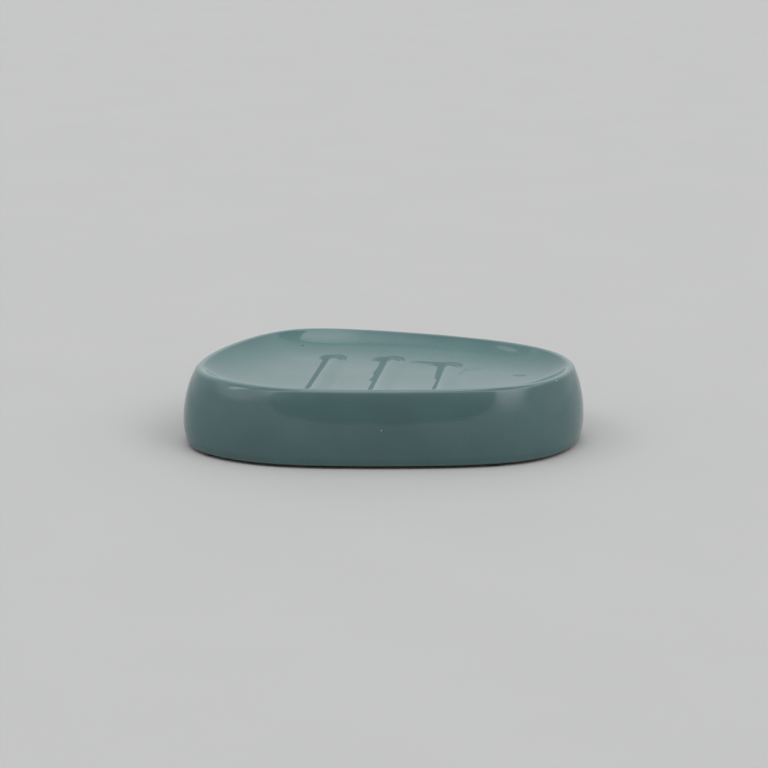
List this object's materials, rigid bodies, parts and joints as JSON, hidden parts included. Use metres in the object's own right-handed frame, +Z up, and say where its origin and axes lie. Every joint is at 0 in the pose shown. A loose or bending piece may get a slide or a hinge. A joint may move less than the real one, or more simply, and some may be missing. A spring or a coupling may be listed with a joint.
{
  "type": "ceramic soap dish",
  "caption": "Low pebble-shaped dish with a rolled lip, a shallow ribbed basin for a bar of soap, and soft pads under its foot.",
  "frame": {"origin": "middle of the dish's box, on the surface that it stands on", "axes": "+Z up, X along the dish's length with the wide end at -X, Y along the drainage ribs with the back at +Y"},
  "size_m": [0.135, 0.098, 0.0258],
  "materials": {
    "teal_glaze": "glossy teal glaze over a pale fired clay",
    "grey_rubber": "matt dark grey rubber"
  },
  "bodies": {
    "root": {"dish_body": "teal_glaze", "foot_pad_back_left": "grey_rubber", "foot_pad_back_right": "grey_rubber", "foot_pad_front_left": "grey_rubber", "foot_pad_front_right": "grey_rubber"}
  },
  "joints": []
}
